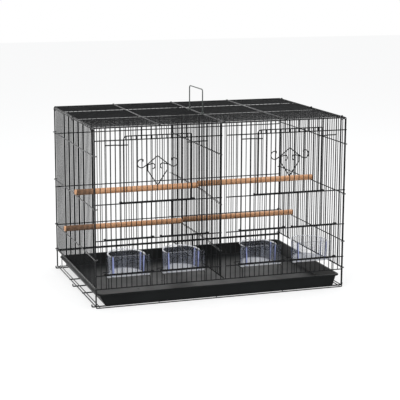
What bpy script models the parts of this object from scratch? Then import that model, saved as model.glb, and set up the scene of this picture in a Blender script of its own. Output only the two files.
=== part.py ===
"""Double breeding cage for small birds: wire panels, doors that slide up, cups, perches, tray."""

import math

import bmesh
import bpy
from mathutils import Matrix, Vector

# Wire sizes. Rails edge the panels, bars fill them and cross wires tie the bars outside.
PITCH = 0.0119
FRONT_BAYS = 51
SIDE_BAYS = 33
RAIL = 0.0032
BAR = 0.0020
CROSS = 0.0024
DOOR_WIRE = 0.0026
BAR_INSET = 0.0001
CUT_BAR_STEP = 0.0004
CROSS_GAP = 0.0001
GAP = 0.0003
CORNER_STEP = 0.00415

# Heights above the floor, and drops from the top rails for what lies high up.
TOP_RAIL_Z = 0.4104
TOP_PANEL_DROP = 0.0008
SLOT_RAIL_Z = 0.0445
FEEDER_SILL_Z = 0.0760
FEEDER_HEAD_Z = 0.1558
DOOR_HEAD_DROP = 0.0287
DOOR_OPENING_HEIGHT = 0.1433
SIDE_LOW_CROSS_Z = 0.0485
LOWER_CARRIER_Z = 0.1130
UPPER_CARRIER_Z = 0.2280
SIDE_HIGH_CROSS_DROP = 0.0629
BACK_LOW_CROSS_Z = 0.0540
BACK_MID_CROSS_Z = 0.2080
BACK_HIGH_CROSS_DROP = 0.0674
DIVIDER_HIGH_PAIR_DROP = 0.0764

# Openings in the front panel, as the numbers of the bars on both sides of each.
SLOT_BARS = (25, 26)
DOOR_BARS = ((5, 19), (32, 46))
FEEDER_BARS = ((2, 11), (13, 22), (29, 38), (40, 49))

# Base frame. Its rows lie at shares of the front's distance and its columns of half the width.
BASE_WIRE = 0.0030
BASE_CROSS = 0.0024
BASE_LAP = 0.0003
BASE_ROW_SHARES = (-0.9327, -0.3242, 0.0, 0.3242, 0.9227)
BASE_HOOKED_ROWS = (0, 2, 4)
BASE_COLUMN_SHARES = (-0.9754, -0.5141, -0.0560, 0.4910, 0.9754)
BASE_STUB = 0.0085
BASE_STUB_RISE = 0.0060

# Hooks that hold the panels together.
HOOK_END_ANGLE = math.radians(200.0)
HOOK_STEPS = 6
LID_HOOK_WIRE = 0.0018
LID_HOOK_START = math.radians(75.0)
LID_HOOK_SWEEP = math.radians(235.0)
LID_HOOK_BAYS = (-15, 0, 16)
LID_CROSS_SHARES = (-0.5026, 0.0, 0.5026)

# Main doors and their guides.
DOOR_TOP_RISE = 0.0088
DOOR_SIDE_BAYS = 6.75
DOOR_CORNER_RADIUS = 0.0080
DOOR_CORNER_STEPS = 3
GUIDE_DROP = 0.0105
GUIDE_OUTER_BAYS = 10.0
GUIDE_BEND_BAYS = 8.0
GUIDE_FRONT_BAYS = 7.25
GUIDE_INNER_BAYS = 5.75
CATCH_STEPS = 3
CATCH_PAST_BAR = 0.0009
CATCH_TAIL = 0.0019

# Scroll ornament on each main door, from the door's middle and the apex of its bow.
SCROLL_WIRE = 0.0020
SCROLL_APEX_DROP = 0.0379
SCROLL_CORNER = Vector((0.0230, -0.0180))
SCROLL_LOOP_END = Vector((0.0340, -0.0120))
SCROLL_UPPER_CORNER = Vector((0.0226, -0.0192))
SCROLL_LOWER_CORNER = Vector((0.0230, -0.0325))
SCROLL_TIP_DROP = 0.0636
SCROLL_LOOP_CENTRE = Vector((0.0375, -0.0160))
SCROLL_LOOP_RADIUS = 0.0096
SCROLL_LOOP_START = math.radians(-128.0)
SCROLL_LOOP_SWEEP = math.radians(242.0)
SCROLL_CURL_CENTRE = Vector((0.0120, -0.0230))
SCROLL_CURL_RADIUS = 0.0060
SCROLL_CURL_START = math.radians(62.0)
SCROLL_CURL_SWEEP = math.radians(205.0)
SCROLL_LOOP_STEPS = 7
SCROLL_CURL_STEPS = 5

# Feed cups, each on a wire shelf behind its feeder door.
SHELF_Z = 0.0670
SHELF_WIRE = 0.0020
SHELF_ARM = 0.0488
SHELF_CORNER_RADIUS = 0.0060
SHELF_CORNER_STEPS = 2
SHELF_FOOT_DROP = 0.0010
CUP_TOP_Z = 0.1170
CUP_WALL = 0.0016
CUP_LIP = 0.0015
CUP_DEPTH = 0.0640
CUP_HALF_WIDTH = 0.0410
CUP_FRONT_HALF = 0.0365
CUP_WING = 0.0495
CUP_TAPER = 0.0020
CUP_FRONT_GAP = 0.0032
CUP_BACK_SEAT = 0.0085
CUP_STEPS = 12

# Perches: round wooden rods, sawn at the outer end to straddle a bar.
PERCH_DIAMETER = 0.0127
PERCH_SIDES = 12
PERCH_OUTER_REACH = 0.0025
PERCH_KERF = 0.0026
PERCH_KERF_PAST_RAIL = 0.0006
UPPER_PERCH_BAYS = (-1.5, -0.5)
LOWER_PERCH_BAYS = (8.5, 9.5)

# Tray.
TRAY_HALF_WIDTH = 0.2950
TRAY_FRONT_Y = -0.1930
TRAY_BACK_Y = 0.1900
TRAY_HEIGHT = 0.0240
TRAY_WALL = 0.0018
TRAY_SLOPE = 0.0085
TRAY_RIM = 0.0045
TRAY_RIM_LIP = 0.0030
TRAY_CORNER = 0.0140
TRAY_CORNER_STEPS = 3

# Divider between the two halves.
DIVIDER_FRONT_INSET = 0.0165
PAIR_WIRE = 0.0022
PAIR_GAP = 0.0002
PAIR_FRONT_STEP = 0.0031
PAIR_TAIL = 0.0035
PAIR_STEPS = 5
DIVIDER_FOOT = 0.0025

# Carry handle: a bail whose eyes turn on the lid's middle cross wire.
HANDLE_WIRE = 0.0027
HANDLE_HALF_BAYS = 4.075
HANDLE_RISE = 0.0586
HANDLE_CORNER_RADIUS = 0.0060
HANDLE_CORNER_STEPS = 3
HANDLE_EYE_SIDES = 8

# Sizes that follow from the ones above.
HALF_WIDTH = PITCH * FRONT_BAYS / 2
HALF_DEPTH = PITCH * SIDE_BAYS / 2
FRONT_Y = -HALF_DEPTH - CORNER_STEP
DOOR_HEAD_Z = TOP_RAIL_Z - DOOR_HEAD_DROP
DOOR_SILL_Z = DOOR_HEAD_Z - DOOR_OPENING_HEIGHT
DOOR_TOP_Z = DOOR_HEAD_Z + DOOR_TOP_RISE
DOOR_CATCH_Z = DOOR_SILL_Z + CROSS / 2 + GAP + DOOR_WIRE / 2
GUIDE_Z = DOOR_HEAD_Z - GUIDE_DROP
SCROLL_APEX_Z = DOOR_HEAD_Z - SCROLL_APEX_DROP
SIDE_CROSS_HEIGHTS = (SIDE_LOW_CROSS_Z, LOWER_CARRIER_Z, UPPER_CARRIER_Z, TOP_RAIL_Z - SIDE_HIGH_CROSS_DROP)
BAR_LOW = BAR_INSET - RAIL / 2
BAR_HIGH = BAR_LOW + BAR
CROSS_LOW = BAR_HIGH + CROSS_GAP
CROSS_HIGH = CROSS_LOW + CROSS
CROSS_MID = (CROSS_LOW + CROSS_HIGH) / 2
DOOR_PLANE = CROSS_HIGH + GAP + DOOR_WIRE / 2
LID_Z = TOP_RAIL_Z - TOP_PANEL_DROP
LID_WIRE_Z = LID_Z + CROSS_MID
SIDE_TOP_Z = LID_Z - RAIL - GAP
SIDE_BOTTOM_Z = BASE_WIRE + GAP + CROSS / 2
DIVIDER_HALF_PAIR = BAR / 2 + PAIR_GAP + PAIR_WIRE / 2
HANDLE_EYE_RADIUS = CROSS / 2 * math.sqrt(2) + GAP + HANDLE_WIRE / 2
DIVIDER_TOP = LID_WIRE_Z - HANDLE_EYE_RADIUS - HANDLE_WIRE / 2 - GAP
DIVIDER_BOTTOM = SLOT_RAIL_Z + RAIL / 2 + GAP
DIVIDER_FRONT = DIVIDER_FRONT_INSET - HALF_DEPTH
HANDLE_TOP_Z = LID_WIRE_Z + HANDLE_RISE
HANDLE_HALF = HANDLE_HALF_BAYS * PITCH
BACK_CARRIER_Z = LOWER_CARRIER_Z - CROSS - GAP
CUP_FRONT_Y = FRONT_Y - BAR_LOW + CUP_FRONT_GAP
CUP_BOTTOM_Z = SHELF_Z + SHELF_WIRE / 2 + GAP
SHELF_BACK_Y = CUP_FRONT_Y + CUP_DEPTH - CUP_BACK_SEAT

# How each material looks, and how finely the meshes are made.
WIRE_BLACK = (0.013, 0.015, 0.017, 1.0)
HANDLE_GREEN = (0.060, 0.085, 0.070, 1.0)
TRAY_BLACK = (0.012, 0.012, 0.013, 1.0)
CUP_CLEAR = (0.80, 0.82, 0.90, 0.35)
PERCH_WOOD = (0.72, 0.42, 0.22, 1.0)
WIRE_ROUGHNESS = 0.45
HANDLE_ROUGHNESS = 0.40
TRAY_ROUGHNESS = 0.30
CUP_ROUGHNESS = 0.08
PERCH_ROUGHNESS = 0.65
WIRE_METALLIC = 0.3
HANDLE_METALLIC = 0.5
SMOOTH_ANGLE = math.radians(40.0)
WELD_SHARE = 0.01
BEVEL_STEPS = 1


class Plane:
    """Axes of one flat piece: u across its bars, v along them and w out of the cage."""

    def __init__(self, centre, u, v, w):
        self.centre = Vector(centre)
        self.u = Vector(u)
        self.v = Vector(v)
        self.w = Vector(w)

    def box(self, u, v, w):
        """Two opposite corners, in world axes, of the box between the given limits."""
        first = self.centre + self.u * u[0] + self.v * v[0] + self.w * w[0]
        last = self.centre + self.u * u[1] + self.v * v[1] + self.w * w[1]
        low = Vector([min(pair) for pair in zip(first, last)])
        high = Vector([max(pair) for pair in zip(first, last)])
        return low, high

    def matrix(self, offset=0.0):
        """Turns flat outlines in u and v into world places, offset along w."""
        columns = Matrix((self.u, self.v, self.u.cross(self.v))).transposed().to_4x4()
        return Matrix.Translation(self.centre + self.w * offset) @ columns


def about(middle, width):
    """Both limits of a width centred on a value."""
    return middle - width / 2, middle + width / 2


def clear_scene():
    for item in list(bpy.data.objects):
        bpy.data.objects.remove(item, do_unlink=True)


def make_collections():
    """One collection for the cage's pieces and one for the shapes that cut them."""
    parts = bpy.data.collections.new("bird_cage")
    cutters = bpy.data.collections.new("cutters")
    bpy.context.scene.collection.children.link(parts)
    bpy.context.scene.collection.children.link(cutters)
    return parts, cutters


def make_material(name, colour, roughness, metallic):
    material = bpy.data.materials.new(name)
    material.use_nodes = True
    shader = material.node_tree.nodes["Principled BSDF"]
    shader.inputs["Base Color"].default_value = colour
    shader.inputs["Roughness"].default_value = roughness
    shader.inputs["Metallic"].default_value = metallic
    shader.inputs["Alpha"].default_value = colour[3]
    return material


def add_object(name, data):
    item = bpy.data.objects.new(name, data)
    PARTS.objects.link(item)
    return item


def solid(name, boxes):
    """One mesh object that holds every box."""
    mesh = bpy.data.meshes.new(name)
    shape = bmesh.new()
    for low, high in boxes:
        place = Matrix.Translation((low + high) / 2) @ Matrix.Diagonal((high - low).to_4d())
        bmesh.ops.create_cube(shape, size=1.0, matrix=place)
    shape.to_mesh(mesh)
    shape.free()
    return add_object(name, mesh)


def as_mesh(curve_object):
    """Replaces a curve object by a welded mesh object of the same shape, in world axes."""
    bpy.context.view_layer.update()
    graph = bpy.context.evaluated_depsgraph_get()
    mesh = bpy.data.meshes.new_from_object(curve_object.evaluated_get(graph))
    mesh.transform(curve_object.matrix_world)
    shape = bmesh.new()
    shape.from_mesh(mesh)
    bmesh.ops.remove_doubles(shape, verts=shape.verts, dist=GAP * WELD_SHARE)
    bmesh.ops.recalc_face_normals(shape, faces=shape.faces)
    shape.to_mesh(mesh)
    shape.free()
    name = curve_object.name
    bpy.data.objects.remove(curve_object, do_unlink=True)
    return add_object(name, mesh)


def boolean(body, other, operation):
    """Joins or cuts a body with another solid, which is then removed."""
    change = body.modifiers.new(operation.lower(), "BOOLEAN")
    change.operation = operation
    change.solver = "EXACT"
    change.object = other
    bpy.context.view_layer.update()
    graph = bpy.context.evaluated_depsgraph_get()
    mesh = bpy.data.meshes.new_from_object(body.evaluated_get(graph))
    body.modifiers.clear()
    body.data = mesh
    bpy.data.objects.remove(other, do_unlink=True)
    return body


def weld(body, other):
    return boolean(body, other, "UNION")


def cut(body, cutter):
    PARTS.objects.unlink(cutter)
    CUTTERS.objects.link(cutter)
    cutter.display_type = "WIRE"
    cutter.hide_render = True
    return boolean(body, cutter, "DIFFERENCE")


def flat_piece(name, outlines, thickness, plane, offset=0.0):
    """A flat solid from closed outlines: the first is its edge and the rest are holes."""
    curve = bpy.data.curves.new(name, "CURVE")
    curve.dimensions = "2D"
    curve.fill_mode = "BOTH"
    curve.extrude = thickness / 2
    for outline in outlines:
        spline = curve.splines.new("POLY")
        spline.points.add(len(outline) - 1)
        for point, place in zip(spline.points, outline):
            point.co = (place[0], place[1], 0.0, 1.0)
        spline.use_cyclic_u = True
    item = add_object(name, curve)
    item.matrix_world = plane.matrix(offset)
    return as_mesh(item)


def rectangle(u, v):
    """Corners of the rectangle between two limits each way."""
    return [(u[0], v[0]), (u[1], v[0]), (u[1], v[1]), (u[0], v[1])]


def arc(centre, radius, start, sweep, steps):
    """Points along an arc, from its start angle through its sweep."""
    points = []
    for step in range(steps + 1):
        angle = start + sweep * step / steps
        points.append(Vector((centre[0] + radius * math.cos(angle), centre[1] + radius * math.sin(angle))))
    return points


def wire_outline(points, width):
    """Closed outline of a wire of the given width along a line of points."""
    left = []
    right = []
    for index, point in enumerate(points):
        legs = []
        if index > 0:
            legs.append((point - points[index - 1]).normalized())
        if index < len(points) - 1:
            legs.append((points[index + 1] - point).normalized())
        along = sum(legs, Vector((0.0, 0.0))).normalized()
        across = Vector((-along.y, along.x)) * (width / 2 / along.dot(legs[0]))
        left.append(point + across)
        right.append(point - across)
    return left + right[::-1]


def flat_wire(name, points, width, thickness, plane, offset=0.0):
    """A wire bent in one plane, of rectangular section."""
    places = [Vector(point) for point in points]
    return flat_piece(name, [wire_outline(places, width)], thickness, plane, offset)


def round_wire(name, points, diameter, closed=False):
    """A round wire along points in world axes."""
    curve = bpy.data.curves.new(name, "CURVE")
    curve.dimensions = "3D"
    curve.bevel_depth = diameter / 2
    curve.bevel_resolution = BEVEL_STEPS
    curve.use_fill_caps = not closed
    spline = curve.splines.new("POLY")
    spline.points.add(len(points) - 1)
    for point, place in zip(spline.points, points):
        point.co = (place[0], place[1], place[2], 1.0)
    spline.use_cyclic_u = closed
    return as_mesh(add_object(name, curve))


def loft(name, rings):
    """A closed solid through rings of equal counts, capped by its first and last ring."""
    mesh = bpy.data.meshes.new(name)
    shape = bmesh.new()
    levels = [[shape.verts.new(place) for place in ring] for ring in rings]
    count = len(levels[0])
    for lower, upper in zip(levels, levels[1:]):
        for index in range(count):
            follow = (index + 1) % count
            shape.faces.new((lower[index], lower[follow], upper[follow], upper[index]))
    shape.faces.new(levels[0][::-1])
    shape.faces.new(levels[-1])
    bmesh.ops.recalc_face_normals(shape, faces=shape.faces)
    shape.to_mesh(mesh)
    shape.free()
    return add_object(name, mesh)


def bar_x(number):
    """Place across the front of the bar with this number, counted from the left corner."""
    return (number - FRONT_BAYS / 2) * PITCH


def bay_y(number):
    """Place along a side of the bar with this number, counted from the front."""
    return (number - SIDE_BAYS / 2) * PITCH


FRONT = Plane((0.0, FRONT_Y, 0.0), (1.0, 0.0, 0.0), (0.0, 0.0, 1.0), (0.0, -1.0, 0.0))
BACK = Plane((0.0, -FRONT_Y, 0.0), (1.0, 0.0, 0.0), (0.0, 0.0, 1.0), (0.0, 1.0, 0.0))
LEFT = Plane((-HALF_WIDTH, 0.0, 0.0), (0.0, 1.0, 0.0), (0.0, 0.0, 1.0), (-1.0, 0.0, 0.0))
RIGHT = Plane((HALF_WIDTH, 0.0, 0.0), (0.0, 1.0, 0.0), (0.0, 0.0, 1.0), (1.0, 0.0, 0.0))
LID = Plane((0.0, 0.0, LID_Z), (0.0, 1.0, 0.0), (1.0, 0.0, 0.0), (0.0, 0.0, 1.0))
MIDDLE = Plane((0.0, 0.0, 0.0), (0.0, 1.0, 0.0), (0.0, 0.0, 1.0), (1.0, 0.0, 0.0))


def level(height):
    """A plane that lies flat at the given height."""
    return Plane((0.0, 0.0, height), (1.0, 0.0, 0.0), (0.0, 1.0, 0.0), (0.0, 0.0, 1.0))


def slice_at(y):
    """An upright plane across the cage at the given depth."""
    return Plane((0.0, y, 0.0), (1.0, 0.0, 0.0), (0.0, 0.0, 1.0), (0.0, -1.0, 0.0))


def full_bar(plane, u, v):
    """A bar that no cross wire stops."""
    return plane.box(about(u, BAR), v, (BAR_LOW, BAR_HIGH))


def cut_bar(plane, u, v):
    """A bar that ends on a cross wire, and so stands a little further out to meet it."""
    return plane.box(about(u, BAR), v, (BAR_LOW + CUT_BAR_STEP, BAR_HIGH + CUT_BAR_STEP))


def cross_wire(plane, u, v):
    """A straight wire outside the bars, that laps over the rails it ends on."""
    return plane.box(u, about(v, CROSS), (CROSS_LOW, CROSS_HIGH))


def between(number, spans):
    return any(low < number < high for low, high in spans)


def front_bars():
    """Every bar of the front panel, cut where the door and feeder openings are."""
    boxes = []
    for number in range(1, FRONT_BAYS):
        x = bar_x(number)
        start = SLOT_RAIL_Z
        make = full_bar
        if between(number, FEEDER_BARS) or between(number, DOOR_BARS):
            make = cut_bar
        if between(number, FEEDER_BARS):
            boxes.append(make(FRONT, x, (start, FEEDER_SILL_Z)))
            start = FEEDER_HEAD_Z
        if between(number, DOOR_BARS):
            boxes.append(make(FRONT, x, (start, DOOR_SILL_Z)))
            start = DOOR_HEAD_Z
        boxes.append(make(FRONT, x, (start, TOP_RAIL_Z)))
    return boxes


def front_panel():
    """The front: rails round the tray slot and the grille, with every opening left free."""
    edge = HALF_WIDTH + RAIL / 2
    inner = HALF_WIDTH - RAIL / 2
    outline = rectangle((-edge, edge), (0.0, TOP_RAIL_Z + RAIL / 2))
    tray_slot = rectangle((-inner, inner), (CROSS, SLOT_RAIL_Z - RAIL / 2))
    field = rectangle((-inner, inner), (SLOT_RAIL_Z + RAIL / 2, TOP_RAIL_Z - RAIL / 2))
    body = flat_piece("front_panel", [outline, tray_slot, field], RAIL, FRONT)
    weld(body, solid("bars", front_bars()))
    end = HALF_WIDTH + RAIL / 2 - BAR_INSET
    slot = bar_x(SLOT_BARS[1]) - BAR / 2
    wires = []
    for height in (FEEDER_SILL_Z, FEEDER_HEAD_Z, DOOR_SILL_Z, DOOR_HEAD_Z):
        wires.append(cross_wire(FRONT, (-end, -slot), height))
        wires.append(cross_wire(FRONT, (slot, end), height))
    return weld(body, solid("wires", wires))


def back_panel():
    """The back: bars down to the floor rail, which also stop the tray."""
    edge = HALF_WIDTH + RAIL / 2
    inner = HALF_WIDTH - RAIL / 2
    outline = rectangle((-edge, edge), (0.0, TOP_RAIL_Z + RAIL / 2))
    field = rectangle((-inner, inner), (CROSS, TOP_RAIL_Z - RAIL / 2))
    body = flat_piece("back_panel", [outline, field], RAIL, BACK)
    bars = [full_bar(BACK, bar_x(number), (CROSS / 2, TOP_RAIL_Z)) for number in range(1, FRONT_BAYS)]
    weld(body, solid("bars", bars))
    end = HALF_WIDTH + RAIL / 2 - BAR_INSET
    high = TOP_RAIL_Z - BACK_HIGH_CROSS_DROP
    heights = (BACK_LOW_CROSS_Z, BACK_CARRIER_Z, BACK_MID_CROSS_Z, high)
    return weld(body, solid("wires", [cross_wire(BACK, (-end, end), height) for height in heights]))


def hooked_wire(name, side, height):
    """A side panel's cross wire, whose ends curl round the front and back corner rails."""
    radius = RAIL / 2 * math.sqrt(2) + GAP + CROSS / 2
    start = math.acos(CROSS_MID / radius)
    front = arc((HALF_WIDTH, FRONT_Y), radius, -HOOK_END_ANGLE, HOOK_END_ANGLE + start, HOOK_STEPS)
    back = [Vector((point.x, -point.y)) for point in reversed(front)]
    points = [Vector((side * point.x, point.y)) for point in front + back]
    return flat_wire(name, points, CROSS, CROSS, level(height))


def side_panel(name, plane, side):
    """A side: its bars stop on a thin rail behind the lowest cross wire, above the tray."""
    edge = HALF_DEPTH + RAIL / 2
    inner = HALF_DEPTH - RAIL / 2
    low = SIDE_LOW_CROSS_Z
    outline = rectangle((-edge, edge), (SIDE_BOTTOM_Z - CROSS / 2, SIDE_TOP_Z + RAIL / 2))
    tray_side = rectangle((-inner, inner), (SIDE_BOTTOM_Z + CROSS / 2, low - BAR / 2))
    field = rectangle((-inner, inner), (low + BAR / 2, SIDE_TOP_Z - RAIL / 2))
    body = flat_piece(name, [outline, tray_side, field], RAIL, plane)
    bars = [full_bar(plane, bay_y(number), (low, SIDE_TOP_Z)) for number in range(1, SIDE_BAYS)]
    weld(body, solid("bars", bars))
    for height in SIDE_CROSS_HEIGHTS:
        weld(body, hooked_wire("wire", side, height))
    return body


def lid_hook(side, bay):
    """A hook of the lid, curled out and under the side panel's top rail."""
    radius = RAIL / 2 * math.sqrt(2) + GAP + LID_HOOK_WIRE / 2
    points = arc((HALF_WIDTH, SIDE_TOP_Z), radius, LID_HOOK_START, -LID_HOOK_SWEEP, HOOK_STEPS)
    mirrored = [Vector((side * point.x, point.y)) for point in points]
    return flat_wire("hook", mirrored, LID_HOOK_WIRE, LID_HOOK_WIRE, slice_at(bay * PITCH))


def top_panel():
    """The lid: bars along the cage, three cross wires over them and hooks at both ends."""
    outer = rectangle((-HALF_DEPTH - RAIL / 2, HALF_DEPTH + RAIL / 2), about(0.0, HALF_WIDTH * 2 + RAIL))
    inner = rectangle((-HALF_DEPTH + RAIL / 2, HALF_DEPTH - RAIL / 2), about(0.0, HALF_WIDTH * 2 - RAIL))
    body = flat_piece("top_panel", [outer, inner], RAIL, LID)
    bars = [full_bar(LID, bay_y(number), (-HALF_WIDTH, HALF_WIDTH)) for number in range(1, SIDE_BAYS)]
    weld(body, solid("bars", bars))
    reach = HALF_DEPTH + RAIL / 2 - BAR_INSET
    places = [share * HALF_WIDTH for share in LID_CROSS_SHARES]
    weld(body, solid("wires", [cross_wire(LID, (-reach, reach), x) for x in places]))
    for side in (-1, 1):
        for bay in LID_HOOK_BAYS:
            weld(body, lid_hook(side, bay))
    return body


def base_frame():
    """The floor grid: wires across the cage on the floor, and wires from front to back on them."""
    reach = HALF_WIDTH + BASE_STUB
    rows = []
    for index, share in enumerate(BASE_ROW_SHARES):
        points = [(-HALF_WIDTH, BASE_WIRE / 2), (HALF_WIDTH, BASE_WIRE / 2)]
        if index in BASE_HOOKED_ROWS:
            rise = BASE_WIRE / 2 + BASE_STUB_RISE
            points = [(-reach, rise), (-reach, BASE_WIRE / 2), (reach, BASE_WIRE / 2), (reach, rise)]
        rows.append(flat_wire("base_row", points, BASE_WIRE, BASE_WIRE, slice_at(share * -FRONT_Y)))
    columns = []
    low = BASE_WIRE - BASE_LAP
    back = -FRONT_Y - RAIL / 2 - GAP
    plane = level(0.0)
    for share in BASE_COLUMN_SHARES:
        u = about(share * HALF_WIDTH, BASE_CROSS)
        columns.append(plane.box(u, (FRONT_Y - RAIL / 2, back), (low, low + BASE_CROSS)))
    body = solid("base_frame", columns)
    for row in rows:
        weld(body, row)
    return body


def catch_bar(name, low_bar, high_bar, height):
    """A door's cross bar, whose ends turn back round the bars on both sides of the opening."""
    front_y = FRONT_Y - DOOR_PLANE
    tail_y = FRONT_Y - BAR_LOW + GAP + DOOR_WIRE / 2
    centre_y = (front_y + tail_y) / 2
    radius = (tail_y - front_y) / 2
    right_centre = (bar_x(high_bar) + CATCH_PAST_BAR, centre_y)
    left_centre = (bar_x(low_bar) - CATCH_PAST_BAR, centre_y)
    right = arc(right_centre, radius, -math.pi / 2, math.pi, CATCH_STEPS)
    left = arc(left_centre, radius, math.pi / 2, math.pi, CATCH_STEPS)
    right_tail = Vector((bar_x(high_bar) - CATCH_TAIL, tail_y))
    left_tail = Vector((bar_x(low_bar) + CATCH_TAIL, tail_y))
    points = [left_tail] + left + right + [right_tail]
    return flat_wire(name, points, DOOR_WIRE, DOOR_WIRE, level(height))


def door_bars(name, numbers, low, high):
    """The upright bars of a door, let into its upper and lower wire."""
    plane = slice_at(FRONT_Y - DOOR_PLANE)
    depth = about(0.0, BAR)
    return solid(name, [plane.box(about(bar_x(number), BAR), (low, high), depth) for number in numbers])


def main_door(name, bars):
    """A door that slides up: a bent frame wire with thirteen bars, on a catch bar of its own."""
    middle = (bar_x(bars[0]) + bar_x(bars[1])) / 2
    half = DOOR_SIDE_BAYS * PITCH
    foot = DOOR_CATCH_Z + DOOR_WIRE / 2 + GAP
    bend = DOOR_CORNER_RADIUS
    right = arc((middle + half - bend, DOOR_TOP_Z - bend), bend, 0.0, math.pi / 2, DOOR_CORNER_STEPS)
    left = arc((middle - half + bend, DOOR_TOP_Z - bend), bend, math.pi / 2, math.pi / 2, DOOR_CORNER_STEPS)
    points = [Vector((middle + half, foot))] + right + left + [Vector((middle - half, foot))]
    body = flat_wire(name, points, DOOR_WIRE, DOOR_WIRE, slice_at(FRONT_Y - DOOR_PLANE))
    return weld(body, door_bars("bars", range(bars[0] + 1, bars[1]), foot, DOOR_TOP_Z))


def feeder_door(name, bars):
    """A small door that slides up: two catch bars with upright bars let in between them."""
    foot = FEEDER_SILL_Z + CROSS / 2 + GAP + DOOR_WIRE / 2
    head = FEEDER_HEAD_Z + CROSS / 2 + GAP + DOOR_WIRE / 2
    body = catch_bar(name, bars[0], bars[1], foot)
    weld(body, door_bars("bars", range(bars[0] + 1, bars[1]), foot, head))
    return weld(body, catch_bar("head", bars[0], bars[1], head))


def scroll(name, bars):
    """The ornament: a bow with curled ends over a pointed loop whose ends curl inwards."""
    middle = (bar_x(bars[0]) + bar_x(bars[1])) / 2
    plane = slice_at(FRONT_Y - DOOR_PLANE - BAR / 2 - GAP - SCROLL_WIRE / 2)
    apex = Vector((middle, SCROLL_APEX_Z))
    turn = (SCROLL_LOOP_START, SCROLL_LOOP_SWEEP, SCROLL_LOOP_STEPS)
    loop = arc(SCROLL_LOOP_CENTRE, SCROLL_LOOP_RADIUS, *turn)
    bow = [Vector((0.0, 0.0)), SCROLL_CORNER] + loop + [SCROLL_LOOP_END]
    turn = (SCROLL_CURL_START, SCROLL_CURL_SWEEP, SCROLL_CURL_STEPS)
    curl = arc(SCROLL_CURL_CENTRE, SCROLL_CURL_RADIUS, *turn)
    point = [Vector((0.0, -SCROLL_TIP_DROP)), SCROLL_LOWER_CORNER, SCROLL_UPPER_CORNER] + curl
    wires = []
    for half, thickness in ((bow, SCROLL_WIRE), (point, SCROLL_WIRE - BAR_INSET * 2)):
        mirrored = [Vector((-place.x, place.y)) for place in half[:0:-1]]
        places = [apex + place for place in mirrored + half]
        wires.append(flat_wire(name, places, SCROLL_WIRE, thickness, plane))
    body = weld(wires[0], wires[1])
    body.name = name
    return body


def door_guide(name, bars, side):
    """A wire fixed across the panel's bars, bent forward to run in front of the door's edge."""
    middle = (bar_x(bars[0]) + bar_x(bars[1])) / 2
    near = FRONT_Y - BAR_HIGH - CUT_BAR_STEP - GAP - DOOR_WIRE / 2
    far = FRONT_Y - DOOR_PLANE - DOOR_WIRE - GAP
    route = (
        (GUIDE_OUTER_BAYS, near),
        (GUIDE_BEND_BAYS, near),
        (GUIDE_FRONT_BAYS, far),
        (GUIDE_INNER_BAYS, far),
    )
    points = [Vector((middle + side * bays * PITCH, y)) for bays, y in route]
    return flat_wire(name, points, DOOR_WIRE, DOOR_WIRE, level(GUIDE_Z))


def cup_shelf(name, bars):
    """A wire loop that carries a cup, with two legs fixed to the rail over the tray slot."""
    middle = (bar_x(bars[0]) + bar_x(bars[1])) / 2
    leg_y = FRONT_Y - RAIL / 2 - GAP - SHELF_WIRE / 2
    bend = SHELF_CORNER_RADIUS
    corner = (middle + SHELF_ARM - bend, SHELF_BACK_Y - bend)
    right = arc(corner, bend, 0.0, math.pi / 2, SHELF_CORNER_STEPS)
    left = [Vector((middle * 2 - point.x, point.y)) for point in reversed(right)]
    start = Vector((middle + SHELF_ARM, leg_y))
    end = Vector((middle - SHELF_ARM, leg_y))
    body = flat_wire(name, [start] + right + left + [end], SHELF_WIRE, SHELF_WIRE, level(SHELF_Z))
    foot = SLOT_RAIL_Z - SHELF_FOOT_DROP
    head = SHELF_Z
    plane = slice_at(leg_y)
    width = SHELF_WIRE + BAR_INSET
    legs = []
    for x in (start.x, end.x):
        legs.append(plane.box(about(x, width), (foot, head), about(0.0, width)))
    return weld(body, solid("legs", legs))


def cup_ring(middle, grow, front_grow, height):
    """A flat-fronted oval: an ellipse cut off by the plane of the cup's front wall."""
    cut_share = math.sqrt(1.0 - (CUP_FRONT_HALF / CUP_HALF_WIDTH) ** 2)
    full_depth = CUP_DEPTH / (1.0 + cut_share)
    centre_y = CUP_FRONT_Y + full_depth * cut_share
    half_width = CUP_HALF_WIDTH + grow
    half_depth = full_depth + grow
    start = math.acos((centre_y - CUP_FRONT_Y + front_grow) / half_depth)
    places = []
    for step in range(CUP_STEPS):
        angle = start + (math.pi - start) * 2 * step / (CUP_STEPS - 1)
        x = middle + half_width * math.sin(angle)
        y = centre_y - half_depth * math.cos(angle)
        places.append(Vector((x, y, height)))
    return places


def cup(name, bars):
    """A clear cup with a lipped rim, a tapered body and a wing at both sides of its front."""
    middle = (bar_x(bars[0]) + bar_x(bars[1])) / 2
    lip_z = CUP_TOP_Z - CUP_WALL
    floor_z = CUP_BOTTOM_Z + CUP_WALL
    profile = (
        (-CUP_TAPER, 0.0, CUP_BOTTOM_Z),
        (0.0, 0.0, lip_z),
        (CUP_LIP, CUP_LIP, lip_z),
        (CUP_LIP, CUP_LIP, CUP_TOP_Z),
        (-CUP_WALL, -CUP_WALL, CUP_TOP_Z),
        (-CUP_TAPER - CUP_WALL, -CUP_WALL, floor_z),
    )
    body = loft(name, [cup_ring(middle, grow, front_grow, height) for grow, front_grow, height in profile])
    plane = slice_at(CUP_FRONT_Y + CUP_WALL / 2)
    wing_in = CUP_FRONT_HALF - CUP_WALL
    wings = []
    for side in (-1, 1):
        u = sorted((middle + side * wing_in, middle + side * CUP_WING))
        v = (CUP_BOTTOM_Z + BAR_INSET, lip_z)
        wings.append(plane.box(u, v, about(0.0, CUP_WALL - BAR_INSET)))
    return weld(body, solid("wings", wings))


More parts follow.
